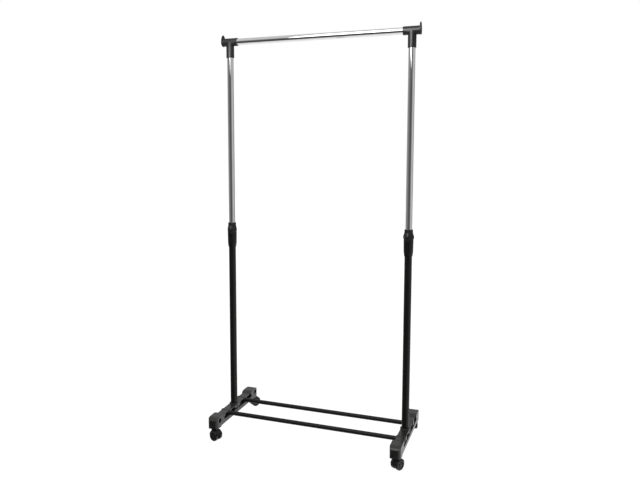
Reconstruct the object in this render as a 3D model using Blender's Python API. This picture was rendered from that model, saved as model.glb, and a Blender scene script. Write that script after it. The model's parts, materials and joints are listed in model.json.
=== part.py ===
"""Rolling clothes rack: two moulded feet on swivel casters, two telescopic uprights and a hanging rail.

Metres, +Z up, +X along the rail, +Y towards the back. The origin is on the floor under the middle.
The rack stands at its full height; the top frame slides down into the lower tubes.
"""

import math

import bmesh
import bpy
from mathutils import Matrix, Vector

# Overall places
UPRIGHT_X = 0.365  # upright axes are at -x and +x
RAIL_Z = 1.566  # axis of the hanging rail
GAP = 0.0003  # space kept between touching pieces

# Tubes: outer radius and wall
LOWER_R = 0.014
LOWER_WALL = 0.001
LOWER_BASE_Z = 0.0565
LOWER_TOP_Z = 0.797
CHROME_R = 0.0125
CHROME_WALL = 0.0008
UPPER_BASE_Z = 0.702
ROD_R = 0.0085
ROD_WALL = 0.001
ROD_Y = 0.0715
ROD_Z = 0.069
ROD_DEPTH = 0.0175  # how far a rod goes into its foot

# Tee connectors and end caps
SLEEVE_R = 0.0155
TEE_INNER = 0.033  # sleeve length towards the middle, from the upright axis
TEE_OUTER = 0.0282  # sleeve length outwards
TEE_DROP = 0.061  # sleeve length downwards, from the rail axis
TEE_WEB_Z = 0.0145  # the upright's bore ends this far under the rail axis
CAP_R = 0.0165
CAP_TIP = 0.029  # height of the pointed stop above the rail axis
CAP_THICK = 0.004
CAP_FLANK_STEPS = 7
CAP_EDGE = 0.0009  # bevel round the outer face
CAP_PLUG_R = 0.0112
CAP_PLUG_BORE = 0.0092
CAP_PLUG_LENGTH = 0.016

# Twist locks, heights above the floor
LOCK_BASE_Z = 0.7465
LOCK_SPLIT_Z = 0.8035
LOCK_TOP_Z = 0.8465
COLLET_R = 0.0146
COLLET_TOP_Z = 0.8385
COLLET_SLOT = 0.002
COLLET_SLOT_Z = 0.815
KNOB_LOBES = 4
KNOB_LOBE_HEIGHT = 0.0034
KNOB_TURN = math.radians(-100)  # direction of the first grip lobe

# Guide bushes on the foot of each upper tube
BUSH_R = 0.01285
BUSH_PLUG_R = 0.0114
BUSH_BORE = 0.0085

# Feet, in the foot's own frame: x towards the middle of the rack, y along the foot, z from the floor
FOOT_HALF = 0.188
FOOT_W = 0.021
FOOT_CORNER = 0.014
WAIST_W = 0.0165
WAIST_HALF = 0.118
WAIST_Z = 0.0625
BEAM_BASE_Z = 0.048
BEAM_TOP_Z = 0.080
BLOCK_BASE_Z = 0.044
BLOCK_TOP_Z = 0.088
BOSS_R = 0.0195
BOSS_TOP_Z = 0.083
ROD_BOSS_R = 0.0125
ROD_BOSS_PROUD = 0.002  # how far a rod's boss stands out of the beam's inner side
ROD_FLANGE_R = 0.0132  # disc that ends the boss on the beam's outer side
ROD_FLANGE_THICK = 0.0045
CHAMBERS = ((0.0215, 0.0585), (0.0845, 0.1265))  # hollows under the beam, by distance from the upright
CHAMBER_W = 0.0125
CHAMBER_TOP_Z = 0.0768
WINDOW_Z = (0.0655, 0.0765)
POCKET_Y = 0.161  # round pocket in the inner side of each end block
POCKET_Z = 0.0725
POCKET_R = 0.0095
POCKET_FLOOR = 0.0075
SCREW_R = 0.0029
SCREW_HEAD_R = 0.0056
SCREW_HOLE_R = 0.0033
COUNTERBORE_R = 0.0062
COUNTERBORE_Z = 0.0518
NUT_Z = (0.0585, 0.078)

# Casters, in the caster's own frame: stem on the z axis, trailing towards +x, axle along y
STEM_Y = 0.175
WHEEL_R = 0.0195
WHEEL_FACES = (0.0055, 0.0170)
TRAIL = 0.012
AXLE_R = 0.0025
AXLE_HALF = 0.0146
HOOD_R = 0.0228
HOOD_HALF = 0.0150
HOOD_BASE_Z = 0.0245
WHEEL_CLEAR_R = 0.0206
WEB_HALF = 0.0048
WEB_R = 0.0125
NECK_R = 0.0085
NECK_TOP_Z = 0.0437
STEM_R = 0.0035
STEM_BASE_Z = 0.0325
STEM_TOP_Z = 0.0745
SLEEVE_BUSH_R = 0.0055
SLEEVE_BUSH_Z = (0.0446, 0.0780)
CASTERS = (
    ("front_left", -1, -1, math.radians(-17)),
    ("front_right", 1, -1, math.radians(60)),
    ("rear_left", -1, 1, math.radians(55)),
    ("rear_right", 1, 1, math.radians(110)),
)

TUBE_SIDES = 24
SMALL_SIDES = 16
PIN_SIDES = 12
KNOB_SIDES = 32
SMOOTH_ANGLE = math.radians(35)


# ---------------------------------------------------------------- helpers


def clear_scene():
    for obj in list(bpy.data.objects):
        bpy.data.objects.remove(obj, do_unlink=True)


def make_material(name, colour, roughness, metallic=0.0):
    material = bpy.data.materials.new(name)
    material.use_nodes = True
    shader = material.node_tree.nodes["Principled BSDF"]
    shader.inputs["Base Color"].default_value = (*colour, 1.0)
    shader.inputs["Roughness"].default_value = roughness
    shader.inputs["Metallic"].default_value = metallic
    return material


def add_empty(name, location, turn=0.0):
    empty = bpy.data.objects.new(name, None)
    empty.location = location
    empty.rotation_euler = (0.0, 0.0, turn)
    bpy.context.scene.collection.objects.link(empty)
    return empty


def add_piece(name, shape, material, location=(0.0, 0.0, 0.0), turn=0.0, parent=None):
    """Adds a named object; shape is a bmesh, which is used up, or the mesh of an earlier piece."""
    if isinstance(shape, bmesh.types.BMesh):
        mesh = bpy.data.meshes.new(name)
        shape.to_mesh(mesh)
        shape.free()
        mesh.materials.append(material)
        mesh.shade_smooth()
        mesh.set_sharp_from_angle(angle=SMOOTH_ANGLE)
    else:
        mesh = shape
    piece = bpy.data.objects.new(name, mesh)
    piece.location = location
    piece.rotation_euler = (0.0, 0.0, turn)
    piece.parent = parent
    bpy.context.scene.collection.objects.link(piece)
    return piece


def tidy(shape):
    bmesh.ops.remove_doubles(shape, verts=shape.verts, dist=1e-6)
    bmesh.ops.recalc_face_normals(shape, faces=shape.faces)
    return shape


def turned(profile, sides):
    """Turns a closed outline of (radius, z) points round the z axis."""
    shape = bmesh.new()
    points = [shape.verts.new((radius, 0.0, z)) for radius, z in profile]
    rims = []
    for first, second in zip(points, points[1:] + points[:1]):
        if first.co.x > 0.0 or second.co.x > 0.0:
            rims.append(shape.edges.new((first, second)))
    bmesh.ops.spin(
        shape,
        geom=points + rims,
        cent=(0.0, 0.0, 0.0),
        axis=(0.0, 0.0, 1.0),
        angle=2.0 * math.pi,
        steps=sides,
        use_merge=True,
    )
    return tidy(shape)


def cylinder(radius, z0, z1, sides):
    return turned([(0.0, z0), (radius, z0), (radius, z1), (0.0, z1)], sides)


def tube(outer, inner, z0, z1, sides):
    return turned([(inner, z0), (outer, z0), (outer, z1), (inner, z1)], sides)


def placed(shape, matrix):
    bmesh.ops.transform(shape, matrix=matrix, verts=shape.verts)
    return shape


def along_x(shape):
    """Lays a shape made along z down along +x."""
    return placed(shape, Matrix.Rotation(math.pi / 2, 4, "Y"))


def along_y(shape):
    """Lays a shape made along z down along +y."""
    return placed(shape, Matrix.Rotation(-math.pi / 2, 4, "X"))


def moved(shape, x=0.0, y=0.0, z=0.0):
    return placed(shape, Matrix.Translation((x, y, z)))


def prism(outline, sweep):
    """Extrudes a flat outline of 3-D points along the vector sweep."""
    shape = bmesh.new()
    face = shape.faces.new([shape.verts.new(point) for point in outline])
    grown = bmesh.ops.extrude_face_region(shape, geom=[face])
    tops = [item for item in grown["geom"] if isinstance(item, bmesh.types.BMVert)]
    bmesh.ops.translate(shape, verts=tops, vec=sweep)
    return tidy(shape)


def block(x0, x1, y0, y1, z0, z1):
    outline = [(x0, y0, z0), (x1, y0, z0), (x1, y1, z0), (x0, y1, z0)]
    return prism(outline, (0.0, 0.0, z1 - z0))


def arc(centre, radius, start, end, steps):
    """Points (u, v) of an arc, from angle start to angle end, both included."""
    angles = [start + (end - start) * step / steps for step in range(steps + 1)]
    return [(centre[0] + radius * math.cos(a), centre[1] + radius * math.sin(a)) for a in angles]


def carved(base, *operations):
    """Applies (operation, shape) Booleans in order to base and gives the resulting bmesh."""
    made = []

    def temporary(shape):
        mesh = bpy.data.meshes.new("temporary")
        shape.to_mesh(mesh)
        shape.free()
        made.append(bpy.data.objects.new("temporary", mesh))
        bpy.context.scene.collection.objects.link(made[-1])
        return made[-1]

    holder = temporary(base)
    for operation, shape in operations:
        modifier = holder.modifiers.new(operation, "BOOLEAN")
        modifier.operation = operation
        modifier.object = temporary(shape)
    bpy.context.view_layer.update()
    result = bmesh.new()
    result.from_object(holder, bpy.context.evaluated_depsgraph_get())
    for obj in made:
        bpy.data.meshes.remove(obj.data, do_unlink=True)
    return tidy(result)


# ---------------------------------------------------------------- feet


def foot_outline():
    """Side view of a foot, (y, z): a beam with a raised, slightly deeper block at each end."""
    half = [
        (0.146, BEAM_BASE_Z),
        (0.152, BLOCK_BASE_Z),
        (0.184, BLOCK_BASE_Z),
        (FOOT_HALF, BEAM_BASE_Z),
        (FOOT_HALF, 0.077),
        (0.181, 0.083),
        (0.168, BLOCK_TOP_Z - 0.0005),
        (0.156, BLOCK_TOP_Z),
        (0.136, BLOCK_TOP_Z),
        (0.126, 0.0865),
        (0.110, BEAM_TOP_Z),
    ]
    mirrored = [(-y, z) for y, z in reversed(half)]
    return half + mirrored


def plan_outline(z):
    """Plan of a foot at height z: a long rectangle with rounded corners."""
    points = []
    x, y = FOOT_W - FOOT_CORNER, FOOT_HALF - FOOT_CORNER
    for quarter, centre in enumerate(((x, y), (-x, y), (-x, -y), (x, -y))):
        start = quarter * math.pi / 2
        points += arc(centre, FOOT_CORNER, start, start + math.pi / 2, 3)
    return [(px, py, z) for px, py in points]


def foot_shape():
    side = prism([(-0.03, y, z) for y, z in foot_outline()], (0.06, 0.0, 0.0))
    steps = [("INTERSECT", prism(plan_outline(0.03), (0.0, 0.0, 0.08)))]
    for side_sign in (-1, 1):
        near, far = sorted((side_sign * WAIST_W, side_sign * 0.03))
        steps.append(("DIFFERENCE", block(near, far, -WAIST_HALF, WAIST_HALF, WAIST_Z, 0.1)))
    steps.append(("UNION", cylinder(BOSS_R, BEAM_BASE_Z + 0.002, BOSS_TOP_Z, TUBE_SIDES)))
    for y_sign in (-1, 1):
        boss = cylinder(ROD_BOSS_R, -WAIST_W, WAIST_W + ROD_BOSS_PROUD, SMALL_SIDES)
        steps.append(("UNION", moved(along_x(boss), 0.0, y_sign * ROD_Y, ROD_Z)))
        outer = -WAIST_W - ROD_BOSS_PROUD
        flange = cylinder(ROD_FLANGE_R, outer, outer + ROD_FLANGE_THICK, SMALL_SIDES)
        steps.append(("UNION", moved(along_x(flange), 0.0, y_sign * ROD_Y, ROD_Z)))
    for y_sign in (-1, 1):
        for near, far in CHAMBERS:
            y0, y1 = sorted((y_sign * near, y_sign * far))
            steps.append(("DIFFERENCE", block(-CHAMBER_W, CHAMBER_W, y0, y1, 0.03, CHAMBER_TOP_Z)))
            steps.append(("DIFFERENCE", block(-0.03, 0.03, y0 + 0.0012, y1 - 0.0012, *WINDOW_Z)))
        bore = along_x(cylinder(ROD_R + GAP, WAIST_W - ROD_DEPTH - 0.001, 0.03, SMALL_SIDES))
        steps.append(("DIFFERENCE", moved(bore, 0.0, y_sign * ROD_Y, ROD_Z)))
        pocket = along_x(cylinder(POCKET_R, POCKET_FLOOR, 0.03, SMALL_SIDES))
        steps.append(("DIFFERENCE", moved(pocket, 0.0, y_sign * POCKET_Y, POCKET_Z)))
        socket = cylinder(SLEEVE_BUSH_R + GAP, 0.03, SLEEVE_BUSH_Z[1] + 0.0006, SMALL_SIDES)
        steps.append(("DIFFERENCE", moved(socket, 0.0, y_sign * STEM_Y)))
    steps.append(("DIFFERENCE", cylinder(LOWER_R + GAP, LOWER_BASE_Z - GAP, 0.1, TUBE_SIDES)))
    steps.append(("DIFFERENCE", cylinder(COUNTERBORE_R, 0.03, COUNTERBORE_Z, SMALL_SIDES)))
    steps.append(("DIFFERENCE", cylinder(SCREW_HOLE_R, 0.03, 0.07, PIN_SIDES)))
    return carved(side, *steps)


def foot_screw_shape():
    """Pan-head screw that comes up through the foot into the nut in the lower tube."""
    head = COUNTERBORE_Z - GAP
    profile = [
        (0.0, head - 0.0031),
        (SCREW_HEAD_R - 0.0015, head - 0.0031),
        (SCREW_HEAD_R, head - 0.0014),
        (SCREW_HEAD_R, head),
        (SCREW_R, head),
        (SCREW_R, NUT_Z[1] - 0.003),
        (0.0, NUT_Z[1] - 0.003),
    ]
    socket = cylinder(0.0016, 0.03, head - 0.0012, 6)
    return carved(turned(profile, PIN_SIDES), ("DIFFERENCE", socket))


# ---------------------------------------------------------------- uprights and twist locks


def lock_body_shape():
    """Tapered sleeve on the top of the lower tube; its wider mouth holds the collet's root."""
    split = LOCK_SPLIT_Z - GAP / 2
    profile = [
        (LOWER_R + GAP, LOCK_BASE_Z),
        (0.0155, LOCK_BASE_Z),
        (0.0176, 0.7610),
        (0.0185, 0.8020),
        (0.0181, split),
        (COLLET_R + GAP, split),
        (COLLET_R + GAP, LOWER_TOP_Z + GAP),
        (LOWER_R + GAP, LOWER_TOP_Z + GAP),
    ]
    return turned(profile, TUBE_SIDES)


def collet_shape():
    """Slotted gripping sleeve round the chrome tube, inside the knob."""
    base = LOWER_TOP_Z + 2.0 * GAP
    profile = [
        (CHROME_R + GAP, base),
        (COLLET_R, base),
        (COLLET_R, COLLET_TOP_Z),
        (CHROME_R + GAP, COLLET_TOP_Z),
    ]
    half = COLLET_SLOT / 2
    slots = [
        ("DIFFERENCE", block(-0.02, 0.02, -half, half, COLLET_SLOT_Z, 0.86)),
        ("DIFFERENCE", block(-half, half, -0.02, 0.02, COLLET_SLOT_Z, 0.86)),
    ]
    return carved(turned(profile, SMALL_SIDES), *slots)


def knob_shape():
    """Twist-lock knob: a round neck that flares into grip lobes with rounded lower ends."""
    base = LOCK_SPLIT_Z + GAP / 2
    rows = [
        (0.0149, base, 0.0),
        (0.0181, base, 0.0),
        (0.0186, base + 0.0010, 0.0),
        (0.0186, 0.8090, 0.0),
        (0.0181, 0.8130, 0.80),
        (0.0176, 0.8195, 1.0),
        (0.0168, 0.8270, 0.60),
        (0.0160, 0.8350, 0.0),
        (0.0158, LOCK_TOP_Z - 0.0010, 0.0),
        (0.0150, LOCK_TOP_Z, 0.0),
        (CHROME_R + GAP, LOCK_TOP_Z, 0.0),
        (CHROME_R + GAP, COLLET_TOP_Z + GAP, 0.0),
        (0.0149, COLLET_TOP_Z + GAP, 0.0),
    ]
    sides = KNOB_SIDES
    shape = bmesh.new()
    rings = []
    for radius, z, lobe in rows:
        ring = []
        for side in range(sides):
            angle = 2.0 * math.pi * side / sides
            wave = 0.5 + 0.5 * math.cos(KNOB_LOBES * (angle - KNOB_TURN))
            grown = radius + KNOB_LOBE_HEIGHT * lobe * wave**0.7
            ring.append(shape.verts.new((grown * math.cos(angle), grown * math.sin(angle), z)))
        rings.append(ring)
    for lower, upper in zip(rings, rings[1:] + rings[:1]):
        for side in range(sides):
            after = (side + 1) % sides
            shape.faces.new((lower[side], lower[after], upper[after], upper[side]))
    return tidy(shape)


def bush_shape():
    """Flanged plug in the bottom end of the upper tube, which centres it in the lower tube."""
    top = UPPER_BASE_Z
    profile = [
        (BUSH_BORE, top - 0.0042),
        (BUSH_R, top - 0.0042),
        (BUSH_R, top - GAP),
        (BUSH_PLUG_R, top - GAP),
        (BUSH_PLUG_R, top + 0.013),
        (BUSH_BORE, top + 0.013),
    ]
    return turned(profile, TUBE_SIDES)


# ---------------------------------------------------------------- top


def tee_shape():
    """Right-hand tee in the upright's frame: sleeve along x for the rail, sleeve down for the upright."""
    along = along_x(cylinder(SLEEVE_R, -TEE_INNER, TEE_OUTER, TUBE_SIDES))
    down = cylinder(SLEEVE_R, RAIL_Z - TEE_DROP, RAIL_Z, TUBE_SIDES)
    rail_bore = along_x(cylinder(CHROME_R + GAP, -0.05, 0.05, TUBE_SIDES))
    upright_bore = cylinder(CHROME_R + GAP, 1.4, RAIL_Z - TEE_WEB_Z, TUBE_SIDES)
    return carved(
        moved(along, z=RAIL_Z),
        ("UNION", down),
        ("DIFFERENCE", moved(rail_bore, z=RAIL_Z)),
        ("DIFFERENCE", upright_bore),
    )


def cap_shape():
    """Right-hand end cap about the rail axis: a plate with a pointed stop on top, and a hollow plug."""
    offset = (CAP_TIP**2 - CAP_R**2) / (2.0 * CAP_R)
    right = []
    for step in range(CAP_FLANK_STEPS + 1):
        z = CAP_TIP * math.sin(math.pi / 2 * step / CAP_FLANK_STEPS)
        pointed = math.sqrt((CAP_R + offset) ** 2 - z**2) - offset
        oval = CAP_R * math.sqrt(max(0.0, 1.0 - (z / CAP_TIP) ** 2))
        right.append(((pointed + oval) / 2, z))
    left = [(-y, z) for y, z in reversed(right[:-1])]
    below = arc((0.0, 0.0), CAP_R, math.pi, 2.0 * math.pi, 12)[1:-1]
    outline = [(0.0, y, z) for y, z in right + left + below]
    plate = prism(outline, (CAP_THICK, 0.0, 0.0))
    face = max(plate.faces, key=lambda item: item.calc_center_median().x)
    bmesh.ops.bevel(plate, geom=face.edges[:], offset=CAP_EDGE, segments=1, affect="EDGES")
    overlap = 0.001
    plug = along_x(tube(CAP_PLUG_R, CAP_PLUG_BORE, -CAP_PLUG_LENGTH, overlap, SMALL_SIDES))
    return carved(plate, ("UNION", plug))


# ---------------------------------------------------------------- casters


def housing_shape():
    """Hood over both wheels, a web between them and a neck round the stem."""
    hood = along_y(cylinder(HOOD_R, -HOOD_HALF, HOOD_HALF, TUBE_SIDES))
    steps = [("DIFFERENCE", block(-0.03, 0.06, -0.03, 0.03, -0.03, HOOD_BASE_Z))]
    steps.append(("UNION", cylinder(NECK_R, 0.033, NECK_TOP_Z, SMALL_SIDES)))
    for side in (-1, 1):
        y0, y1 = sorted((side * WEB_HALF, side * 0.03))
        clear = along_y(cylinder(WHEEL_CLEAR_R, y0, y1, TUBE_SIDES))
        steps.append(("DIFFERENCE", moved(clear, TRAIL, 0.0, WHEEL_R)))
    web = along_y(cylinder(WEB_R, -WEB_HALF + 0.0001, WEB_HALF - 0.0001, SMALL_SIDES))
    steps.append(("UNION", moved(web, TRAIL, 0.0, WHEEL_R)))
    axle_bore = along_y(cylinder(AXLE_R + GAP / 2, -0.03, 0.03, PIN_SIDES))
    steps.append(("DIFFERENCE", moved(axle_bore, TRAIL, 0.0, WHEEL_R)))
    steps.append(("DIFFERENCE", cylinder(STEM_R + GAP / 2, STEM_BASE_Z - GAP, 0.06, PIN_SIDES)))
    return carved(moved(hood, TRAIL, 0.0, WHEEL_R), *steps)


def stem_shape():
    """Steel pin that swivels in the foot, with a grip groove near its top."""
    profile = [
        (0.0, STEM_BASE_Z),
        (STEM_R, STEM_BASE_Z),
        (STEM_R, STEM_TOP_Z - 0.0070),
        (STEM_R - 0.0008, STEM_TOP_Z - 0.0060),
        (STEM_R - 0.0008, STEM_TOP_Z - 0.0040),
        (STEM_R, STEM_TOP_Z - 0.0030),
        (STEM_R - 0.0010, STEM_TOP_Z),
        (0.0, STEM_TOP_Z),
    ]
    return turned(profile, PIN_SIDES)


def wheel_shape(side):
    """Wheel about its axle along y: rounded tread, dished outer face with a hub, blind axle hole."""
    inner, outer = WHEEL_FACES
    profile = [
        (AXLE_R + GAP / 2, inner),
        (WHEEL_R - 0.0012, inner),
        (WHEEL_R, inner + 0.0012),
        (WHEEL_R, outer - 0.0028),
        (WHEEL_R - 0.0026, outer - 0.0002),
        (WHEEL_R - 0.0052, outer - 0.0002),
        (WHEEL_R - 0.0060, outer - 0.0014),
        (0.0060, outer - 0.0014),
        (0.0050, outer),
        (0.0, outer),
        (0.0, AXLE_HALF + GAP),
        (AXLE_R + GAP / 2, AXLE_HALF + GAP),
    ]
    shape = along_y(turned(profile, TUBE_SIDES))
    return shape if side > 0 else placed(shape, Matrix.Rotation(math.pi, 4, "Z"))


def add_casters(plastic, tread, steel):
    meshes = {}

    def add(kind, shape_maker, name, material, location, parent):
        piece = add_piece(name, meshes.get(kind) or shape_maker(), material, location, parent=parent)
        meshes[kind] = piece.data

    axle_at = (TRAIL, 0.0, WHEEL_R)
    for corner, x_sign, y_sign, turn in CASTERS:
        stand = Vector((x_sign * UPRIGHT_X, y_sign * STEM_Y, 0.0))
        swivel = add_empty(f"{corner}_caster_swivel", stand, turn)
        name = f"{corner}_caster"
        add("housing", housing_shape, f"{name}_housing", plastic, (0.0, 0.0, 0.0), swivel)
        add("stem", stem_shape, f"{name}_stem", steel, (0.0, 0.0, 0.0), swivel)
        add("axle", axle_shape, f"{name}_axle", steel, axle_at, swivel)
        add("left", lambda: wheel_shape(1), f"{name}_left_wheel", tread, axle_at, swivel)
        add("right", lambda: wheel_shape(-1), f"{name}_right_wheel", tread, axle_at, swivel)
        add("sleeve", stem_sleeve_shape, f"{corner}_stem_sleeve", plastic, stand, None)


def axle_shape():
    return along_y(cylinder(AXLE_R, -AXLE_HALF, AXLE_HALF, PIN_SIDES))


def stem_sleeve_shape():
    return tube(SLEEVE_BUSH_R, STEM_R + GAP, *SLEEVE_BUSH_Z, SMALL_SIDES)


# ---------------------------------------------------------------- assembly


def add_pair(name, shape, material, z=0.0):
    """Adds the left and right piece; the left one is the right one turned half round."""
    left = add_piece(f"left_{name}", shape, material, (-UPRIGHT_X, 0.0, z), math.pi)
    add_piece(f"right_{name}", left.data, material, (UPRIGHT_X, 0.0, z))


def add_base(foot_plastic, black_paint, steel, plastic):
    left = add_piece("left_foot", foot_shape(), foot_plastic, (-UPRIGHT_X, 0.0, 0.0))
    add_piece("right_foot", left.data, foot_plastic, (UPRIGHT_X, 0.0, 0.0), math.pi)
    lower = tube(LOWER_R, LOWER_R - LOWER_WALL, LOWER_BASE_Z, LOWER_TOP_Z, TUBE_SIDES)
    add_pair("lower_tube", lower, black_paint)
    nut = tube(LOWER_R - LOWER_WALL - GAP, SCREW_R + GAP, *NUT_Z, SMALL_SIDES)
    add_pair("tube_nut", nut, plastic)
    add_pair("foot_screw", foot_screw_shape(), steel)
    half = UPRIGHT_X - WAIST_W + ROD_DEPTH
    rod = along_x(tube(ROD_R, ROD_R - ROD_WALL, -half, half, SMALL_SIDES))
    front = add_piece("front_cross_rod", rod, black_paint, (0.0, -ROD_Y, ROD_Z))
    add_piece("rear_cross_rod", front.data, black_paint, (0.0, ROD_Y, ROD_Z))


def add_locks(plastic):
    add_pair("lock_body", lock_body_shape(), plastic)
    add_pair("lock_collet", collet_shape(), plastic)
    left = add_piece("left_lock_knob", knob_shape(), plastic, (-UPRIGHT_X, 0.0, 0.0))
    add_piece("right_lock_knob", left.data, plastic, (UPRIGHT_X, 0.0, 0.0))


def add_top_frame(chrome, plastic):
    top = RAIL_Z - TEE_WEB_Z - GAP
    upper = tube(CHROME_R, CHROME_R - CHROME_WALL, UPPER_BASE_Z, top, TUBE_SIDES)
    add_pair("upper_tube", upper, chrome)
    add_pair("guide_bush", bush_shape(), plastic)
    rail_half = UPRIGHT_X + TEE_OUTER
    rail = along_x(tube(CHROME_R, CHROME_R - CHROME_WALL, -rail_half, rail_half, TUBE_SIDES))
    add_piece("top_rail", rail, chrome, (0.0, 0.0, RAIL_Z))
    add_pair("tee_connector", tee_shape(), plastic)
    cap_x = rail_half + GAP
    left = add_piece("left_end_cap", cap_shape(), plastic, (-cap_x, 0.0, RAIL_Z), math.pi)
    add_piece("right_end_cap", left.data, plastic, (cap_x, 0.0, RAIL_Z))


def main():
    clear_scene()
    foot_plastic = make_material("grey_black_plastic", (0.055, 0.055, 0.054), 0.62)
    plastic = make_material("black_plastic", (0.020, 0.020, 0.021), 0.42)
    tread = make_material("wheel_nylon", (0.016, 0.016, 0.016), 0.50)
    black_paint = make_material("black_paint", (0.016, 0.015, 0.015), 0.35)
    chrome = make_material("chrome", (0.80, 0.81, 0.82), 0.06, 1.0)
    steel = make_material("zinc_steel", (0.55, 0.55, 0.56), 0.35, 1.0)
    add_base(foot_plastic, black_paint, steel, plastic)
    add_casters(plastic, tread, steel)
    add_locks(plastic)
    add_top_frame(chrome, plastic)


main()
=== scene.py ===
"""Looks of the rolling clothes rack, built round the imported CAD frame. Metres, +Z up."""

import json
import math

import bmesh
import bpy
from mathutils import Matrix, Vector


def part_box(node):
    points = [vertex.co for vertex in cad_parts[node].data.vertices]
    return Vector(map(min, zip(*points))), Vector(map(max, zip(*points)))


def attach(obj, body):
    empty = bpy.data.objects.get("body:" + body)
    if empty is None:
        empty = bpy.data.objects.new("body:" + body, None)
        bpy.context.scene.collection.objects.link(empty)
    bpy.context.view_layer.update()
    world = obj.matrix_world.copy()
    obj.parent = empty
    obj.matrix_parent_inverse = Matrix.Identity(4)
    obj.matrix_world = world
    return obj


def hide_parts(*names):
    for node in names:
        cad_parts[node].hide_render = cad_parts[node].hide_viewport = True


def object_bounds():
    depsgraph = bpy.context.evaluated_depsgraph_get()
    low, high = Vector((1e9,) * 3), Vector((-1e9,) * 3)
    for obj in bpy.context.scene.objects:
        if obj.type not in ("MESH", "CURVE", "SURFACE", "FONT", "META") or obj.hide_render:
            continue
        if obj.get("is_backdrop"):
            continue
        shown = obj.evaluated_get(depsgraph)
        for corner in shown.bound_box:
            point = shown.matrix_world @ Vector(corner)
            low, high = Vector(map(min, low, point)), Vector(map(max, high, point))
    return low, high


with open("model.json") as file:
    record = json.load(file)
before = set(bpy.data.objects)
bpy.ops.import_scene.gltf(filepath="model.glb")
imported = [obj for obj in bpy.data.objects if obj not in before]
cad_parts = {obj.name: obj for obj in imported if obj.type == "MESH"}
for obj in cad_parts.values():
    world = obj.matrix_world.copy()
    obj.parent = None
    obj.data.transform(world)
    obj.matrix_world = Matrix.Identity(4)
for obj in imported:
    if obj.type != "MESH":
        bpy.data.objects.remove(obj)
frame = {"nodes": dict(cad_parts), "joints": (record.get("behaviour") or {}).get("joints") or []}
CAD_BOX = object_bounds()
JOINTS = {joint["name"]: joint for joint in frame["joints"]}

# Camera
CAMERA_AT = (0.79388, -2.22145, 1.09948)
CAMERA_FORWARD = (-0.32447, 0.94062, -0.09978)
CAMERA_ROLL = math.radians(0.221)
CAMERA_LENS = 34.2
CAMERA_SHIFT = (-0.00428, -0.02877)

# Studio
FLOOR_GLOW = 1.0
SWEEP_FRONT = 0.85  # the white sweep ends in front at this share of the height above it
SWEEP_SIDE = 0.6  # and it turns forward on the right by this much

# Mesh finish
FINE = 64
ROUND = 48
PIN = 24
SMOOTH_ANGLE = math.radians(32)
GAP = 0.0003


# ---------------------------------------------------------------- places, from the frame


def middle(node):
    low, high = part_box(node)
    return (low + high) / 2


def reach(node):
    low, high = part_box(node)
    return high - low


UPRIGHT_X = middle("right_upper_tube").x
RAIL_Z = middle("top_rail").z
CHROME_R = reach("top_rail").z / 2
ROD_R = reach("front_cross_rod").z / 2
ROD_Y = middle("rear_cross_rod").y
ROD_Z = middle("rear_cross_rod").z
LOWER_R = reach("right_lower_tube").y / 2
FOOT_HALF = reach("right_foot").y / 2
FOOT_W = reach("right_foot").x / 2
BLOCK_BASE_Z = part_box("right_foot")[0].z
BLOCK_TOP_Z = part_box("right_foot")[1].z
WHEEL_R = reach("front_left_caster_left_wheel").z / 2


# ---------------------------------------------------------------- materials


class Nodes:
    """Short way to write a node tree: every call adds one node and returns it."""

    def __init__(self, name):
        self.material = bpy.data.materials.new(name)
        self.material.use_nodes = True
        self.tree = self.material.node_tree
        self.shader = self.tree.nodes["Principled BSDF"]

    def add(self, kind, inputs=None, **settings):
        node = self.tree.nodes.new(kind)
        for key, value in settings.items():
            setattr(node, key, value)
        for key, value in (inputs or {}).items():
            if isinstance(value, bpy.types.NodeSocket):
                self.tree.links.new(value, node.inputs[key])
            else:
                node.inputs[key].default_value = value
        return node

    def link(self, output, socket):
        self.tree.links.new(output, self.shader.inputs[socket])

    def place(self):
        """Object coordinates, in metres."""
        return self.add("ShaderNodeTexCoord").outputs["Object"]

    def noise(self, vector, scale, detail=3.0, roughness=0.5):
        inputs = {"Vector": vector, "Scale": scale, "Detail": detail, "Roughness": roughness}
        return self.add("ShaderNodeTexNoise", inputs).outputs["Fac"]

    def stretched(self, vector, scale):
        return self.add("ShaderNodeMapping", {"Vector": vector, "Scale": scale}).outputs["Vector"]

    def spread(self, value, low, high, start=0.3, end=0.7):
        """Maps value from start..end to low..high."""
        inputs = {"Value": value, "From Min": start, "From Max": end, "To Min": low, "To Max": high}
        return self.add("ShaderNodeMapRange", inputs).outputs["Result"]

    def colours(self, value, *stops):
        """Colour ramp through (position, (r, g, b)) stops."""
        ramp = self.add("ShaderNodeValToRGB", {"Fac": value})
        elements = ramp.color_ramp.elements
        while len(elements) < len(stops):
            elements.new(0.5)
        for element, (position, colour) in zip(elements, stops):
            element.position = position
            element.color = (*colour, 1.0)
        return ramp.outputs["Color"]

    def bumps(self, *layers):
        """Chains (height, strength, distance) layers into the shader's normal."""
        normal = None
        for height, strength, distance in layers:
            inputs = {"Height": height, "Strength": strength, "Distance": distance}
            if normal is not None:
                inputs["Normal"] = normal
            normal = self.add("ShaderNodeBump", inputs).outputs["Normal"]
        self.link(normal, "Normal")

    def set(self, **values):
        for key, value in values.items():
            self.shader.inputs[key.replace("_", " ")].default_value = value
        return self


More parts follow.
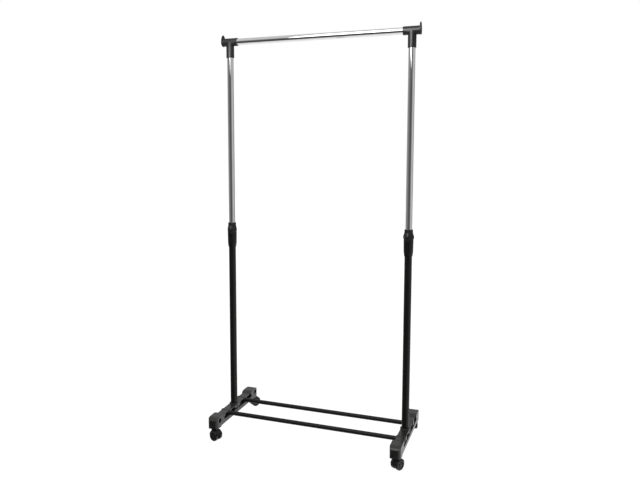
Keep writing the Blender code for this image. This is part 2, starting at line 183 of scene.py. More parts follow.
def moulded_plastic(name, dark, light, roughness, grain, grain_height, specular=0.5):
    """Moulded plastic: faint colour clouds, a fine eroded grain and slow shrinkage waves."""
    nodes = Nodes(name)
    place = nodes.place()
    clouds = nodes.noise(place, 38.0, 4.0)
    scuffs = nodes.noise(nodes.stretched(place, (1.0, 0.25, 1.0)), 210.0, 5.0, 0.65)
    nodes.link(nodes.colours(clouds, (0.3, dark), (0.7, light)), "Base Color")
    rough = nodes.add("ShaderNodeMath", {0: clouds, 1: scuffs}, operation="MULTIPLY")
    nodes.link(nodes.spread(rough.outputs[0], roughness - 0.03, roughness + 0.05, 0.12, 0.4), "Roughness")
    fine = nodes.noise(place, grain, 3.0, 0.6)
    waves = nodes.noise(place, 55.0, 2.0)
    nodes.bumps((fine, 0.30, grain_height), (waves, 0.06, 0.0004))
    nodes.set(Specular_IOR_Level=specular)
    return nodes.material


def powder_coat():
    """Satin black powder coat with fine orange peel and a little dust on it."""
    nodes = Nodes("satin_powder_coat")
    place = nodes.place()
    dust = nodes.noise(nodes.stretched(place, (1.0, 1.0, 0.3)), 60.0, 6.0, 0.7)
    colour = nodes.colours(dust, (0.35, (0.0100, 0.0090, 0.0083)), (0.75, (0.0140, 0.0127, 0.0118)))
    nodes.link(colour, "Base Color")
    nodes.link(nodes.spread(dust, 0.33, 0.46), "Roughness")
    peel = nodes.noise(place, 620.0, 2.0)
    nodes.bumps((peel, 0.16, 0.00012))
    nodes.set(Specular_IOR_Level=0.28)
    return nodes.material


def chrome():
    """Chromed steel tube: mirror finish, fine draw lines along the tube and faint handling haze."""
    nodes = Nodes("polished_chrome")
    place = nodes.place()
    haze = nodes.noise(place, 26.0, 5.0, 0.6)
    lines = nodes.noise(nodes.stretched(place, (900.0, 900.0, 6.0)), 1.0, 2.0)
    nodes.link(nodes.colours(haze, (0.3, (0.83, 0.83, 0.83)), (0.7, (0.89, 0.89, 0.885))), "Base Color")
    nodes.link(nodes.spread(haze, 0.028, 0.045), "Roughness")
    nodes.bumps((lines, 0.015, 0.00002))
    nodes.set(Metallic=1.0)
    return nodes.material


def zinc_steel():
    """Zinc-plated steel with turned rings and a mottled blue-grey plate."""
    nodes = Nodes("zinc_plated_steel")
    place = nodes.place()
    mottle = nodes.noise(place, 420.0, 4.0)
    turned = nodes.noise(nodes.stretched(place, (60.0, 60.0, 2600.0)), 1.0, 2.0)
    nodes.link(nodes.colours(mottle, (0.3, (0.48, 0.49, 0.52)), (0.7, (0.62, 0.62, 0.60))), "Base Color")
    nodes.link(nodes.spread(mottle, 0.26, 0.42), "Roughness")
    nodes.bumps((turned, 0.2, 0.00005))
    nodes.set(Metallic=1.0)
    return nodes.material


def studio_floor():
    nodes = Nodes("studio_floor")
    shade = nodes.noise(nodes.place(), 3.0, 2.0)
    nodes.link(nodes.colours(shade, (0.3, (0.08, 0.08, 0.08)), (0.7, (0.10, 0.10, 0.10))), "Base Color")
    nodes.set(Roughness=0.8, Specular_IOR_Level=0.1, Emission_Color=(1.0, 1.0, 1.0, 1.0))
    nodes.set(Emission_Strength=FLOOR_GLOW)
    return nodes.material


# ---------------------------------------------------------------- mesh tools


def tidy(shape):
    bmesh.ops.remove_doubles(shape, verts=shape.verts, dist=1e-6)
    bmesh.ops.recalc_face_normals(shape, faces=shape.faces)
    return shape


def rounded(outline, closed=True, steps=4):
    """Rounds the corners of an outline of (u, v) or (u, v, radius) points."""
    result = []
    count = len(outline)
    for index, point in enumerate(outline):
        here = Vector(point[:2])
        radius = point[2] if len(point) > 2 else 0.0
        if radius == 0.0 or (not closed and index in (0, count - 1)):
            result.append(tuple(here))
            continue
        back = (Vector(outline[index - 1][:2]) - here).normalized()
        ahead = (Vector(outline[(index + 1) % count][:2]) - here).normalized()
        half = math.acos(max(-1.0, min(1.0, back.dot(ahead)))) / 2
        start, end = here + back * (radius / math.tan(half)), here + ahead * (radius / math.tan(half))
        centre = here + (back + ahead).normalized() * (radius / math.sin(half))
        first = math.atan2(*(start - centre).yx)
        sweep = math.remainder(math.atan2(*(end - centre).yx) - first, 2.0 * math.pi)
        for step in range(steps + 1):
            angle = first + sweep * step / steps
            result.append((centre.x + radius * math.cos(angle), centre.y + radius * math.sin(angle)))
    return result


def turned(profile, sides=FINE):
    """Turns a closed outline of (radius, z) or (radius, z, corner radius) points round the z axis."""
    shape = bmesh.new()
    points = [shape.verts.new((max(radius, 0.0), 0.0, z)) for radius, z in rounded(profile)]
    rims = []
    for first, second in zip(points, points[1:] + points[:1]):
        if first.co.x > 0.0 or second.co.x > 0.0:
            rims.append(shape.edges.new((first, second)))
    bmesh.ops.spin(
        shape,
        geom=points + rims,
        cent=(0.0, 0.0, 0.0),
        axis=(0.0, 0.0, 1.0),
        angle=2.0 * math.pi,
        steps=sides,
        use_merge=True,
    )
    return tidy(shape)


def cylinder(radius, z0, z1, sides=ROUND):
    return turned([(0.0, z0), (radius, z0), (radius, z1), (0.0, z1)], sides)


def tube(outer, inner, z0, z1, edge=0.0003, sides=FINE):
    corners = [(inner, z0, edge), (outer, z0, edge), (outer, z1, edge), (inner, z1, edge)]
    return turned(corners, sides)


def placed(shape, matrix):
    bmesh.ops.transform(shape, matrix=matrix, verts=shape.verts)
    return shape


def along_x(shape):
    return placed(shape, Matrix.Rotation(math.pi / 2, 4, "Y"))


def along_y(shape):
    return placed(shape, Matrix.Rotation(-math.pi / 2, 4, "X"))


def moved(shape, x=0.0, y=0.0, z=0.0):
    return placed(shape, Matrix.Translation((x, y, z)))


def prism(outline, sweep):
    """Extrudes a flat outline of 3-D points along the vector sweep."""
    shape = bmesh.new()
    face = shape.faces.new([shape.verts.new(point) for point in outline])
    grown = bmesh.ops.extrude_face_region(shape, geom=[face])
    tops = [item for item in grown["geom"] if isinstance(item, bmesh.types.BMVert)]
    bmesh.ops.translate(shape, verts=tops, vec=sweep)
    return tidy(shape)


def block(x0, x1, y0, y1, z0, z1, corner=0.0):
    """Box; corner rounds its edges along x."""
    sides = [(y0, z0, corner), (y1, z0, corner), (y1, z1, corner), (y0, z1, corner)]
    return prism([(x0, y, z) for y, z in rounded(sides)], (x1 - x0, 0.0, 0.0))


def softened(shape, width, segments=2, angle=math.radians(38)):
    """Rounds every edge sharper than angle."""
    sharp = [e for e in shape.edges if len(e.link_faces) == 2 and e.calc_face_angle(0.0) > angle]
    bmesh.ops.bevel(
        shape,
        geom=sharp,
        offset=width,
        segments=segments,
        profile=0.5,
        affect="EDGES",
        clamp_overlap=True,
        miter_outer="ARC",
    )
    return tidy(shape)


def carved(base, *operations):
    """Applies (operation, shape) Booleans in order to base and gives the resulting bmesh."""
    made = []

    def temporary(shape):
        mesh = bpy.data.meshes.new("temporary")
        shape.to_mesh(mesh)
        shape.free()
        made.append(bpy.data.objects.new("temporary", mesh))
        bpy.context.scene.collection.objects.link(made[-1])
        return made[-1]

    holder = temporary(base)
    for operation, shape in operations:
        modifier = holder.modifiers.new(operation, "BOOLEAN")
        modifier.operation = operation
        modifier.object = temporary(shape)
    bpy.context.view_layer.update()
    result = bmesh.new()
    result.from_object(holder, bpy.context.evaluated_depsgraph_get())
    for obj in made:
        bpy.data.meshes.remove(obj.data, do_unlink=True)
    bmesh.ops.dissolve_limit(
        result,
        angle_limit=math.radians(0.5),
        verts=result.verts,
        edges=result.edges,
    )
    return tidy(result)


def mesh_of(name, shape, material, angle=SMOOTH_ANGLE):
    mesh = bpy.data.meshes.new(name)
    shape.to_mesh(mesh)
    shape.free()
    mesh.materials.append(material)
    mesh.shade_smooth()
    mesh.set_sharp_from_angle(angle=angle)
    return mesh


def darkened(mesh, shade, painted_shade):
    """Gives the faces that the given test picks the second material, shade: a painted shade, darker than the first
    material.
    """
    mesh.materials.append(shade)
    for face in mesh.polygons:
        if painted_shade(face.center, face.normal):
            face.material_index = 1
    return mesh


def weighted(piece):
    """Shades rounded edges as blends between flat faces."""
    modifier = piece.modifiers.new("face_weighted_normals", "WEIGHTED_NORMAL")
    modifier.keep_sharp = True
    return piece


def add(name, mesh, body, slot, matrix, *replaced):
    piece = bpy.data.objects.new(name, mesh)
    bpy.context.scene.collection.objects.link(piece)
    piece.matrix_world = matrix
    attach(piece, body)
    if replaced:
        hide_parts(*replaced)
    return piece


def at(x=0.0, y=0.0, z=0.0, turn=0.0):
    return Matrix.Translation((x, y, z)) @ Matrix.Rotation(turn, 4, "Z")


# ---------------------------------------------------------------- tubes


def add_tubes(paint, metal):
    low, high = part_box("right_lower_tube")
    lower = mesh_of("lower_tube", tube(LOWER_R, LOWER_R - 0.001, low.z, high.z), paint)
    low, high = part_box("right_upper_tube")
    upper = mesh_of("upper_tube", tube(CHROME_R, CHROME_R - 0.0008, low.z, high.z), metal)
    for side, sign in (("left", -1), ("right", 1)):
        spot = at(sign * UPRIGHT_X)
        weighted(add(f"{side}_lower_tube_skin", lower, "base", "black_paint", spot, f"{side}_lower_tube"))
        weighted(add(f"{side}_upper_tube_skin", upper, "top_frame", "chrome", spot, f"{side}_upper_tube"))
    lying = Matrix.Rotation(math.pi / 2, 4, "Y")
    half = reach("top_rail").x / 2
    rail = mesh_of("rail", tube(CHROME_R, CHROME_R - 0.0008, -half, half), metal)
    weighted(add("top_rail_skin", rail, "top_frame", "chrome", at(z=RAIL_Z) @ lying, "top_rail"))
    half = reach("front_cross_rod").x / 2
    rod = mesh_of("cross_rod", tube(ROD_R, ROD_R - 0.001, -half, half), paint)
    for side, sign in (("front", -1), ("rear", 1)):
        spot = at(y=sign * ROD_Y, z=ROD_Z) @ lying
        weighted(add(f"{side}_cross_rod_skin", rod, "base", "black_paint", spot, f"{side}_cross_rod"))


# ---------------------------------------------------------------- tee connectors and end caps


def tee_shape():
    """Tee in the upright's frame, with the rail axis at z = 0 and the long sleeve towards -x."""
    low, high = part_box("right_tee_connector")
    inner, outer, drop = low.x - UPRIGHT_X, high.x - UPRIGHT_X, low.z - RAIL_Z
    radius = reach("right_tee_connector").y / 2
    bore = CHROME_R + GAP
    across = [(0.0, inner), (radius - 0.0006, inner), (radius, inner + 0.0006)]
    across += [(radius, outer - 0.0004), (radius - 0.0004, outer), (0.0, outer)]
    down = [(0.0, drop), (radius - 0.0006, drop), (radius, drop + 0.0006), (radius, 0.0), (0.0, 0.0)]
    shape = carved(
        along_x(turned(across)),
        ("UNION", turned(down)),
        ("DIFFERENCE", along_x(cylinder(bore, inner - 0.01, outer + 0.01, FINE))),
        ("DIFFERENCE", cylinder(bore, drop - 0.01, -CHROME_R - 0.002, FINE)),
    )
    return shape


def cap_shape():
    """End cap about the rail axis: a plate with a pointed stop on top, and a plug into the rail."""
    low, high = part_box("right_end_cap")
    radius = RAIL_Z - low.z
    tip = high.z - RAIL_Z
    thick = high.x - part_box("right_tee_connector")[1].x - GAP
    offset = (tip**2 - radius**2) / (2.0 * radius)
    right = []
    for step in range(19):
        z = tip * math.sin(math.pi / 2 * step / 18)
        arch = math.sqrt((radius + offset) ** 2 - z**2) - offset
        oval = radius * math.sqrt(max(0.0, 1.0 - (z / tip) ** 2))
        right.append(((arch + oval) / 2, z))
    left = [(-y, z) for y, z in reversed(right[:-1])]
    turns = [math.pi + math.pi * step / 28 for step in range(1, 28)]
    below = [(radius * math.cos(a), radius * math.sin(a)) for a in turns]
    plate = prism([(0.0, y, z) for y, z in right + left + below], (thick, 0.0, 0.0))
    softened(plate, 0.0010, 3, math.radians(60))
    plug = along_x(tube(0.0112, 0.0092, -0.016, 0.001, 0.0002, ROUND))
    return carved(plate, ("UNION", plug))


def add_top(plastic):
    tee = mesh_of("tee", tee_shape(), plastic)
    cap = mesh_of("cap", cap_shape(), plastic)
    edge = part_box("right_tee_connector")[1].x + GAP
    for side, sign in (("left", -1), ("right", 1)):
        turn = 0.0 if sign > 0 else math.pi
        spot = at(sign * UPRIGHT_X, z=RAIL_Z, turn=turn)
        piece = add(f"{side}_tee", tee, "top_frame", "black_plastic", spot, f"{side}_tee_connector")
        weighted(piece)
        spot = at(sign * edge, z=RAIL_Z, turn=turn)
        weighted(add(f"{side}_cap", cap, "top_frame", "black_plastic", spot, f"{side}_end_cap"))


# ---------------------------------------------------------------- twist locks


def lock_body_shape():
    low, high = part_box("right_lock_body")
    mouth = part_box("right_lower_tube")[1].z + GAP
    profile = [
        (LOWER_R + GAP, low.z, 0.0002),
        (0.0156, low.z, 0.0004),
        (0.0173, 0.7590, 0.0040),
        (0.0178, 0.7660, 0.0100),
        (0.0183, 0.7950, 0.0100),
        (0.0185, high.z - 0.0022, 0.0006),
        (0.0180, high.z - 0.0016, 0.0003),
        (0.0183, high.z - 0.0010, 0.0003),
        (0.0181, high.z, 0.0004),
        (0.0149, high.z, 0.0002),
        (0.0149, mouth),
        (LOWER_R + GAP, mouth),
    ]
    return turned(profile)


def knob_shape():
    """Knob whose neck flares into rounded grip lobes, each undercut at its lower end."""
    low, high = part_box("right_lock_knob")
    lobes, turn, height = 4, math.radians(-100), 0.0034
    collet_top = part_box("right_lock_collet")[1].z + GAP
    rows = [
        (0.0149, low.z, 0.0),
        (0.0180, low.z, 0.0),
        (0.0184, low.z + 0.0004, 0.0),
        (0.0186, low.z + 0.0012, 0.0),
        (0.0186, 0.8068, 0.0),
        (0.0184, 0.8082, 0.02),
        (0.0181, 0.8096, 0.10),
        (0.0179, 0.8108, 0.32),
        (0.0178, 0.8120, 0.60),
        (0.0177, 0.8134, 0.83),
        (0.0177, 0.8152, 0.96),
        (0.0177, 0.8180, 1.0),
        (0.0176, 0.8205, 0.97),
        (0.0173, 0.8235, 0.84),
        (0.0169, 0.8270, 0.60),
        (0.0166, 0.8300, 0.36),
        (0.0163, 0.8330, 0.14),
        (0.0161, 0.8355, 0.03),
        (0.0160, 0.8380, 0.0),
        (0.0159, high.z - 0.0008, 0.0),
        (0.0156, high.z - 0.0002, 0.0),
        (0.0152, high.z, 0.0),
        (CHROME_R + 0.0005, high.z, 0.0),
        (CHROME_R + GAP, high.z - 0.0003, 0.0),
        (CHROME_R + GAP, collet_top, 0.0),
        (0.0149, collet_top, 0.0),
    ]
    sides = 2 * FINE
    shape = bmesh.new()
    rings = []
    for radius, z, lobe in rows:
        ring = []
        for side in range(sides):
            angle = 2.0 * math.pi * side / sides
            wave = (0.5 + 0.5 * math.cos(lobes * (angle - turn))) ** 0.75
            grown = radius + height * lobe * wave
            ring.append(shape.verts.new((grown * math.cos(angle), grown * math.sin(angle), z)))
        rings.append(ring)
    for lower, upper in zip(rings, rings[1:] + rings[:1]):
        for side in range(sides):
            after = (side + 1) % sides
            shape.faces.new((lower[side], lower[after], upper[after], upper[side]))
    return tidy(shape)


def add_locks(plastic):
    sleeve = mesh_of("lock_sleeve", lock_body_shape(), plastic)
    knob = mesh_of("lock_knob", knob_shape(), plastic, math.radians(50))
    for side, sign in (("left", -1), ("right", 1)):
        spot = at(sign * UPRIGHT_X)
        weighted(add(f"{side}_lock_sleeve", sleeve, "base", "black_plastic", spot, f"{side}_lock_body"))
        weighted(add(f"{side}_twist_knob", knob, f"{side}_knob", "black_plastic", spot, f"{side}_lock_knob"))


# ---------------------------------------------------------------- feet


def foot_side():
    """Side view of a foot, (y, z, corner radius)."""
    beam_base, beam_top = 0.048, 0.080
    half = [
        (0.146, beam_base, 0.008),
        (0.152, BLOCK_BASE_Z, 0.004),
        (0.184, BLOCK_BASE_Z, 0.002),
        (FOOT_HALF, BLOCK_BASE_Z + 0.004, 0.003),
        (FOOT_HALF, 0.0780, 0.004),
        (0.1800, 0.0845, 0.006),
        (0.1660, BLOCK_TOP_Z, 0.014),
        (0.1300, BLOCK_TOP_Z, 0.012),
        (0.1080, beam_top, 0.012),
    ]
    mirrored = [(-y, z, r) for y, z, r in reversed(half)]
    return half + mirrored


def foot_plan(x, y, corner):
    return rounded([(x, y, corner), (-x, y, corner), (-x, -y, corner), (x, -y, corner)], steps=8)


def foot_shape():
    """Foot in its own frame: x towards the middle of the rack, y along the foot, z from the floor."""
    waist, waist_z = 0.0165, 0.0625
    outline = [(-0.03, y, z) for y, z in rounded(foot_side(), steps=5)]
    plan = [(x, y, 0.03) for x, y in foot_plan(FOOT_W, FOOT_HALF, 0.014)]
    steps = [("INTERSECT", prism(plan, (0.0, 0.0, 0.08)))]
    for sign in (-1, 1):
        near, far = sorted((sign * waist, sign * 0.03))
        ledge = [(-0.118, waist_z, 0.001), (0.118, waist_z, 0.001), (0.112, 0.1), (-0.112, 0.1)]
        cut = prism([(near, y, z) for y, z in rounded(ledge)], (far - near, 0.0, 0.0))
        steps.append(("DIFFERENCE", cut))
    body = carved(prism(outline, (0.06, 0.0, 0.0)), *steps)
    softened(body, 0.0016, 3)
    collar = [(0.0, 0.05), (0.0195, 0.05), (0.0195, 0.0822, 0.0012), (0.0180, 0.0834, 0.0008), (0.0, 0.0834)]
    joins = [("UNION", turned(collar))]
    for sign in (-1, 1):
        boss = [(0.0, -waist - 0.0008), (0.0122, -waist - 0.0008, 0.0006), (0.0125, 0.0)]
        boss += [(0.0125, waist + 0.0022, 0.0008), (0.0, waist + 0.0022)]
        joins.append(("UNION", moved(along_x(turned(boss, ROUND)), 0.0, sign * ROD_Y, ROD_Z)))
        flange = [(0.0, -waist - 0.002), (0.0132, -waist - 0.002, 0.0008), (0.0132, -waist + 0.0025), (0.0, -waist + 0.0025)]
        joins.append(("UNION", moved(along_x(turned(flange, ROUND)), 0.0, sign * ROD_Y, ROD_Z)))
    chambers = ((0.0215, 0.0585), (0.0845, 0.1265))
    for sign in (-1, 1):
        for near, far in chambers:
            y0, y1 = sorted((sign * near, sign * far))
            joins.append(("DIFFERENCE", block(-0.0125, 0.0125, y0, y1, 0.03, 0.0768, 0.0015)))
            window = block(-0.03, 0.03, y0 + 0.0012, y1 - 0.0012, 0.0655, 0.0765, 0.0018)
            joins.append(("DIFFERENCE", window))
        bore = along_x(cylinder(ROD_R + GAP, waist - 0.0185, 0.03))
        joins.append(("DIFFERENCE", moved(bore, 0.0, sign * ROD_Y, ROD_Z)))
        pocket = [(0.0, 0.0075), (0.0090, 0.0075, 0.0008), (0.0095, 0.0200), (0.0105, 0.03), (0.0, 0.03)]
        joins.append(("DIFFERENCE", moved(along_x(turned(pocket, ROUND)), 0.0, sign * 0.161, 0.0725)))
        socket_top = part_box("front_left_stem_sleeve")[1].z + 0.0006
        socket = [(0.0, 0.03), (0.0092, 0.03), (0.0080, BLOCK_BASE_Z + 0.0006)]
        socket += [(0.0058, BLOCK_BASE_Z + 0.0006), (0.0058, socket_top), (0.0, socket_top)]
        joins.append(("DIFFERENCE", moved(turned(socket, ROUND), 0.0, sign * STEM_Y)))
    tube_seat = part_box("right_lower_tube")[0].z - GAP
    joins.append(("DIFFERENCE", cylinder(LOWER_R + GAP, tube_seat, 0.1, FINE)))
    joins.append(("DIFFERENCE", cylinder(0.0062, 0.03, 0.0518)))
    joins.append(("DIFFERENCE", cylinder(0.0033, 0.03, 0.07, PIN)))
    return carved(body, *joins)


STEM_Y = abs(JOINTS["rear_right_swivel_turn"]["pos_m"][1])


def foot_screw_shape():
    """Pan-head screw with a cross recess, about the upright's axis."""
    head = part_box("right_foot_screw")[0].z
    profile = [
        (0.0, head),
        (0.0030, head),
        (0.0050, head + 0.0009, 0.0012),
        (0.0056, head + 0.0024, 0.0006),
        (0.0056, head + 0.0031),
        (0.0029, head + 0.0031),
        (0.0029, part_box("right_foot_screw")[1].z),
        (0.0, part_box("right_foot_screw")[1].z),
    ]
    slots = []
    for turn in (0.0, math.pi / 2):
        slot = block(-0.0021, 0.0021, -0.0004, 0.0004, head - 0.001, head + 0.0016)
        slots.append(("DIFFERENCE", placed(slot, Matrix.Rotation(turn + 0.4, 4, "Z"))))
    return carved(turned(profile, ROUND), *slots)


def foot_painted_shade(centre, normal):
    """True inside the chambers, windows and round pockets of a foot: the faces that get the painted shade there."""
    in_chamber = abs(centre.x) < 0.0160 and 0.0205 < abs(centre.y) < 0.1275 and centre.z < 0.0780
    level = abs(normal.x) < 0.2 or centre.x * normal.x < 0.0
    in_pocket = math.hypot(abs(centre.y) - 0.161, centre.z - 0.0725) < 0.0110 and 0.007 < centre.x < 0.0204
    return (in_chamber and level) or in_pocket


def add_feet(plastic, painted_shade, steel):
    foot = mesh_of("foot", foot_shape(), plastic, math.radians(40))
    # The faces inside the chambers, windows and pockets get a painted shade: a near-black material in place of the
    # shade in there.
    darkened(foot, painted_shade, foot_painted_shade)
    screw = mesh_of("foot_screw_skin", foot_screw_shape(), steel)
    for side, sign in (("left", -1), ("right", 1)):
        turn = 0.0 if sign < 0 else math.pi
        spot = at(sign * UPRIGHT_X, turn=turn)
        weighted(add(f"{side}_foot_moulding", foot, "base", "foot_plastic", spot, f"{side}_foot"))
        spot = at(sign * UPRIGHT_X)
        add(f"{side}_pan_screw", screw, "base", "zinc_steel", spot, f"{side}_foot_screw")


# ---------------------------------------------------------------- casters


def housing_shape(trail, half):
    """Hood over both wheels, a web between them and a neck under the foot."""
    hood_r = 0.0228
    crown = [(0.0, -half), (hood_r, -half, 0.0022), (hood_r, half, 0.0022), (0.0, half)]
    steps = [("DIFFERENCE", block(-0.03, 0.06, -0.03, 0.03, -0.03, 0.0245))]
    neck_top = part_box("front_left_caster_housing")[1].z
    neck = [(0.0, 0.033), (0.0100, 0.033), (0.0092, 0.0412, 0.0020), (0.0078, 0.0424, 0.0006)]
    neck += [(0.0078, neck_top, 0.0003), (0.0, neck_top)]
    steps.append(("UNION", turned(neck, ROUND)))
    for side in (-1, 1):
        y0, y1 = sorted((side * 0.0048, side * 0.03))
        clear = along_y(cylinder(0.0206, y0, y1, FINE))
        steps.append(("DIFFERENCE", moved(clear, trail, 0.0, WHEEL_R)))
    web = [(0.0, -0.0047), (0.0125, -0.0047, 0.0012), (0.0125, 0.0047, 0.0012), (0.0, 0.0047)]
    steps.append(("UNION", moved(along_y(turned(web, ROUND)), trail, 0.0, WHEEL_R)))
    bore = along_y(cylinder(0.0026, -0.03, 0.03, PIN))
    steps.append(("DIFFERENCE", moved(bore, trail, 0.0, WHEEL_R)))
    steps.append(("DIFFERENCE", cylinder(0.0037, 0.0322, 0.06, PIN)))
    return carved(moved(along_y(turned(crown)), trail, 0.0, WHEEL_R), *steps)


def wheel_shape(side):
    """Wheel about its axle along y: rounded tread, dished face with recessed panels and a hub cap."""
    inner, outer = 0.0055, 0.0170
    profile = [
        (0.00265, inner),
        (0.0060, inner, 0.0003),
        (0.0066, inner + 0.0016, 0.0004),
        (0.0150, inner + 0.0016, 0.0006),
        (0.0158, inner, 0.0004),
        (WHEEL_R, inner, 0.0012),
        (WHEEL_R, outer, 0.0030),
        (WHEEL_R - 0.0050, outer, 0.0005),
        (WHEEL_R - 0.0058, outer - 0.0014, 0.0005),
        (0.0064, outer - 0.0014, 0.0005),
        (0.0058, outer, 0.0006),
        (0.0, outer),
        (0.0, 0.0149),
        (0.00265, 0.0149),
    ]
    shape = along_y(turned(profile))
    cuts = []
    count = 6
    for index in range(count):
        spread = 0.34
        arcs = []
        for radius, way in ((0.0122, 1), (0.0078, -1)):
            for step in range(-4, 5):
                angle = way * step / 4 * spread * (0.0122 / radius if radius < 0.01 else 1.0) * 0.9
                arcs.append((radius * math.sin(angle), outer - 0.0024, radius * math.cos(angle)))
        panel = prism(arcs, (0.0, 0.005, 0.0))
        turn = Matrix.Rotation(2.0 * math.pi * index / count, 4, "Y")
        cuts.append(("DIFFERENCE", placed(panel, turn)))
    shape = carved(shape, *cuts)
    return shape if side > 0 else placed(shape, Matrix.Rotation(math.pi, 4, "Z"))


def add_casters(plastic, tread, steel):
    swivel_at = Vector(JOINTS["front_left_swivel_turn"]["pos_m"])
    wheel_at = Vector(JOINTS["front_left_left_wheel_roll"]["pos_m"])
    trail = (wheel_at - swivel_at).xy.length
    housing = mesh_of("caster_hood", housing_shape(trail, 0.0150), plastic, math.radians(40))
    wheels = {}
    for side, sign in (("left", 1), ("right", -1)):
        wheels[side] = mesh_of(f"{side}_caster_wheel", wheel_shape(sign), tread, math.radians(40))
    for corner in ("front_left", "front_right", "rear_left", "rear_right"):
        pivot = Vector(JOINTS[f"{corner}_swivel_turn"]["pos_m"])
        axle = JOINTS[f"{corner}_left_wheel_roll"]["axis"]
        turn = math.atan2(axle[1], axle[0]) - math.pi / 2
        stand = at(pivot.x, pivot.y, turn=turn)
        name = f"{corner}_caster"
        hood = add(f"{name}_hood", housing, f"{corner}_swivel", "black_plastic", stand, f"{name}_housing")
        weighted(hood)
        for side, mesh in wheels.items():
            spot = stand @ Matrix.Translation((trail, 0.0, WHEEL_R))
            node = f"{name}_{side}_wheel"
            weighted(add(f"{node}_skin", mesh, f"{corner}_{side}_wheel", "wheel_nylon", spot, node))


def finish_hidden_nodes(plastic, steel):
    """The small CAD pieces that stay as they are get the same finishes."""
    for name, node in frame["nodes"].items():
        if node.hide_render:
            continue
        metal = name.endswith(("_axle", "_stem"))
        node.data.materials.clear()
        node.data.materials.append(steel if metal else plastic)


# ---------------------------------------------------------------- studio


def add_floor(material):
    size = 14.0
    shape = bmesh.new()
    bmesh.ops.create_grid(shape, x_segments=8, y_segments=8, size=size)
    floor = bpy.data.objects.new("studio_floor", mesh_of("studio_floor", shape, material))
    bpy.context.scene.collection.objects.link(floor)
    floor.visible_glossy = False
    floor.visible_diffuse = False
    floor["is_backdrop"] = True


def add_softbox(name, location, target, size, power, roll=0.0, lit=()):
    """Area light aimed at target; if lit names pieces, it reaches only those."""
    light = bpy.data.lights.new(name, "AREA")
    light.shape = "RECTANGLE"
    light.size, light.size_y = size
    light.energy = power
    lamp = bpy.data.objects.new(name, light)
    lamp.location = location
    aim = Vector(target) - Vector(location)
    aimed = aim.to_track_quat("-Z", "Y").to_matrix() @ Matrix.Rotation(roll, 3, "Z")
    lamp.rotation_euler = aimed.to_euler()
    lamp.visible_camera = False
    bpy.context.scene.collection.objects.link(lamp)
    if lit:
        receivers = bpy.data.collections.new(f"{name}_receivers")
        for piece in lit:
            receivers.objects.link(bpy.data.objects[piece])
        lamp.light_linking.receiver_collection = receivers


def add_world():
    """White to the eye; the rack sees a dark studio beyond its white sweep, with a bright left wall."""
    world = bpy.data.worlds.new("studio")
    bpy.context.scene.world = world
    world.use_nodes = True
    tree = world.node_tree
    tree.nodes.clear()

    def node(kind, inputs=None, **settings):
        made = tree.nodes.new(kind)
        for key, value in settings.items():
            setattr(made, key, value)
        for key, value in (inputs or {}).items():
            if isinstance(value, bpy.types.NodeSocket):
                tree.links.new(value, made.inputs[key])
            else:
                made.inputs[key].default_value = value
        return made

    def ramp(value, *stops):
        made = node("ShaderNodeValToRGB", {"Fac": value})
        elements = made.color_ramp.elements
        while len(elements) < len(stops):
            elements.new(0.5)
        for element, (position, level) in zip(elements, stops):
            element.position = position
            element.color = (level, level, level, 1.0)
        return made.outputs["Color"]

    def math_node(operation, first, second):
        return node("ShaderNodeMath", {0: first, 1: second}, operation=operation).outputs[0]

    def ranged(value, low, high):
        inputs = {"Value": value, "From Min": low, "From Max": high}
        return node("ShaderNodeMapRange", inputs).outputs["Result"]

    def mixed(factor, first, second):
        made = node("ShaderNodeMix", {"Factor": factor}, data_type="RGBA")
        for socket, value in ((6, first), (7, second)):
            if isinstance(value, bpy.types.NodeSocket):
                tree.links.new(value, made.inputs[socket])
            else:
                made.inputs[socket].default_value = (value, value, value, 1.0)
        return made.outputs[2]

    direction = node("ShaderNodeTexCoord").outputs["Generated"]
    axes = node("ShaderNodeSeparateXYZ", {"Vector": direction}).outputs
    around = math_node("ARCTAN2", axes["Y"], axes["X"])
    walls = ramp(ranged(around, -math.pi, math.pi), *ROOM_WALLS)
    room = mixed(ranged(axes["Z"], 0.12, 0.45), walls, ROOM_CEILING)
    towards = math_node("ADD", axes["Y"], math_node("MULTIPLY", axes["X"], SWEEP_SIDE))
    behind = math_node("SUBTRACT", towards, math_node("MULTIPLY", axes["Z"], SWEEP_FRONT))
    sweep = mixed(ranged(behind, 0.04, 1.2), SWEEP_LEVEL, SWEEP_FAR)
    floor = mixed(ranged(behind, -0.04, 0.04), ROOM_FLOOR, sweep)
    studio = mixed(ranged(axes["Z"], -0.12, -0.25), room, floor)
    camera_ray = node("ShaderNodeLightPath").outputs["Is Camera Ray"]
    light = mixed(camera_ray, studio, 1.0)
    background = node("ShaderNodeBackground", {"Color": light})
    output = node("ShaderNodeOutputWorld")
    tree.links.new(background.outputs[0], output.inputs["Surface"])


# What lights the rack. The walls go round the room: 0.25 is towards -y, 0.5 towards +x and 0.75
# towards +y. The floor is dark in front of the white sweep.
ROOM_WALLS = (
    (0.00, 0.32),
    (0.08, 0.24),
    (0.15, 0.17),
    (0.21, 0.12),
    (0.28, 0.08),
    (0.33, 0.09),
    (0.375, 0.24),
    (0.44, 0.50),
    (0.50, 0.62),
    (0.54, 0.48),
    (0.60, 0.32),
    (0.68, 0.42),
    (0.72, 0.14),
    (0.76, 0.12),
    (0.82, 0.48),
    (1.00, 0.32),
)
ROOM_CEILING = 0.62
ROOM_FLOOR = 0.06
SWEEP_LEVEL = 0.72
SWEEP_FAR = 1.0


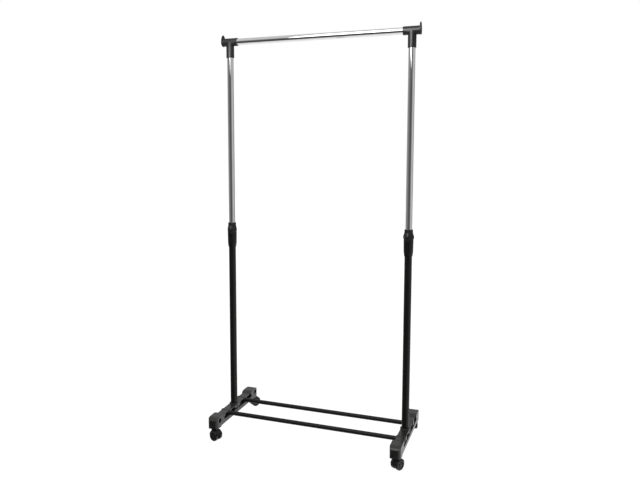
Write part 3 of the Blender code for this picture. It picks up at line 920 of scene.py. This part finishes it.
def add_camera():
    camera = bpy.data.objects.new("camera", bpy.data.cameras.new("camera"))
    bpy.context.scene.collection.objects.link(camera)
    camera.data.lens = CAMERA_LENS
    camera.data.shift_x, camera.data.shift_y = CAMERA_SHIFT
    aim = Vector(CAMERA_FORWARD).to_track_quat("-Z", "Y").to_matrix().to_4x4()
    camera.matrix_world = Matrix.Translation(CAMERA_AT) @ aim @ Matrix.Rotation(CAMERA_ROLL, 4, "Z")
    bpy.context.scene.camera = camera


def add_studio():
    bpy.context.scene.view_settings.view_transform = "Standard"
    add_floor(studio_floor())
    add_world()
    add_softbox("front_left", (-0.1, -1.25, 2.32), (-0.05, 0.0, 1.5), (1.05, 1.4), 13.0, math.radians(-9))
    tops = ("left_tee", "right_tee", "left_cap", "right_cap")
    add_softbox("top_sheen", (-0.2, -1.45, 2.02), (-0.05, 0.0, 1.55), (0.9, 0.95), 50.0, 0.0, tops)
    knobs = ("left_twist_knob", "right_twist_knob")
    add_softbox("knob_sheen", (0.0, -1.45, 1.95), (0.0, 0.0, 0.82), (1.3, 0.9), 26.0, 0.0, knobs)
    add_camera()


# ---------------------------------------------------------------- assembly


def main():
    foot_plastic = moulded_plastic(
        "grained_foot_plastic", (0.019, 0.018, 0.017), (0.026, 0.025, 0.024), 0.28, 900.0, 0.00004
    )
    plastic = moulded_plastic(
        "satin_black_plastic", (0.0075, 0.0071, 0.0071), (0.0105, 0.0100, 0.0100), 0.38, 1500.0, 0.00001, 0.28
    )
    tread = moulded_plastic(
        "caster_nylon", (0.008, 0.008, 0.0078), (0.013, 0.013, 0.0125), 0.42, 1100.0, 0.00008
    )
    paint, metal, steel = powder_coat(), chrome(), zinc_steel()
    add_tubes(paint, metal)
    add_top(plastic)
    add_locks(plastic)
    # Painted shade: a near-black plastic for the faces inside the feet's chambers, windows and pockets, darker than
    # the foot plastic, standing in for the shade in there.
    painted_shade = moulded_plastic("foot_painted_shade", (0.0015, 0.0015, 0.0014), (0.003, 0.003, 0.0028), 0.6, 900.0, 0.00005, 0.1)
    add_feet(foot_plastic, painted_shade, steel)
    add_casters(plastic, tread, steel)
    finish_hidden_nodes(plastic, steel)
    add_studio()


main()
boxes = {"cad": CAD_BOX, "visual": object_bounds()}
{name: [list(corner) for corner in box] for name, box in boxes.items()}
